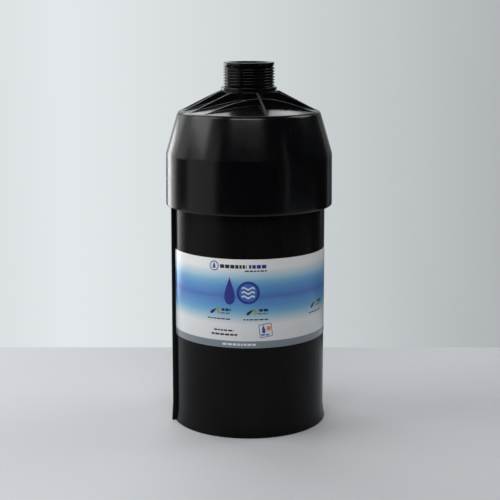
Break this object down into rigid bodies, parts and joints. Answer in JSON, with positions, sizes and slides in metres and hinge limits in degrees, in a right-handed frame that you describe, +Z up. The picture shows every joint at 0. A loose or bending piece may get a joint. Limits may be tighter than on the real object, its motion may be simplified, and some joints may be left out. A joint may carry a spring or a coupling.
{
  "type": "filter cartridge",
  "caption": "Upright filter cartridge for drain water that may carry oil: ribbed bell cap with a threaded inlet, labelled tube, felts and granule beds above a twist-off outlet grid.",
  "frame": {"origin": "centre of the foot, on the floor", "axes": "+Z up along the tube to the inlet's mouth, -Y the front with the label's main panel, side rail on the -X side"},
  "size_m": [0.137, 0.137, 0.298],
  "materials": {
    "cap_moulding": "glossy moulded black",
    "tube_plastic": "satin extruded black",
    "inner_moulding": "matt moulded black",
    "seal_rubber": "soft black rubber",
    "stainless": "plain stainless steel",
    "label_film": "printed film with white, blue and grey bands",
    "plate_plastic": "natural polypropylene",
    "bush_plastic": "ivory acetal",
    "felt": "needled off-white felt",
    "sorbent_granules": "loose tan granules",
    "lock_granules": "loose off-white granules"
  },
  "bodies": {
    "tube": {"body_tube": "tube_plastic", "side_rail": "tube_plastic", "label": "label_film", "snap_ring": "stainless", "diffuser_plate": "plate_plastic", "guide_bush": "bush_plastic", "upper_spring_seat": "stainless", "bed_spring": "stainless", "top_felt": "felt", "top_screen": "stainless", "sorbent_bed": "sorbent_granules", "middle_felt": "felt", "separator_disc": "plate_plastic", "lock_bed": "lock_granules", "bottom_felt": "felt", "bottom_screen": "stainless", "outlet_ring": "inner_moulding"},
    "cap": {"top_cap": "cap_moulding", "inlet_spigot": "cap_moulding", "spigot_gasket": "seal_rubber", "spigot_washer": "stainless", "spigot_nut": "inner_moulding", "cap_seals": "seal_rubber"},
    "strainer": {"strainer_rim": "inner_moulding", "strainer_basket": "stainless", "strainer_bail": "stainless"},
    "follower": {"follower_plate": "plate_plastic", "follower_stem": "stainless", "stem_nut": "stainless", "stem_clip": "stainless", "lower_spring_seat": "stainless"},
    "grid": {"support_grid": "inner_moulding"}
  },
  "joints": [
    {"name": "cap_lift", "type": "slide", "parent": "tube", "child": "cap", "axis": [0, 0, 1], "range_m": [0, 0.07]},
    {"name": "strainer_lift", "type": "slide", "parent": "cap", "child": "strainer", "axis": [0, 0, 1], "range_m": [0, 0.075]},
    {"name": "follower_rise", "type": "slide", "parent": "tube", "child": "follower", "axis": [0, 0, 1], "range_m": [0, 0.014], "stiffness_N_per_m": 900, "springref_m": -0.02, "deforming": ["bed_spring"]},
    {"name": "grid_twist", "type": "hinge", "parent": "tube", "child": "grid", "pos_m": [0, 0, 0.0084], "axis": [0, 0, 1], "range_deg": [0, 60]}
  ]
}
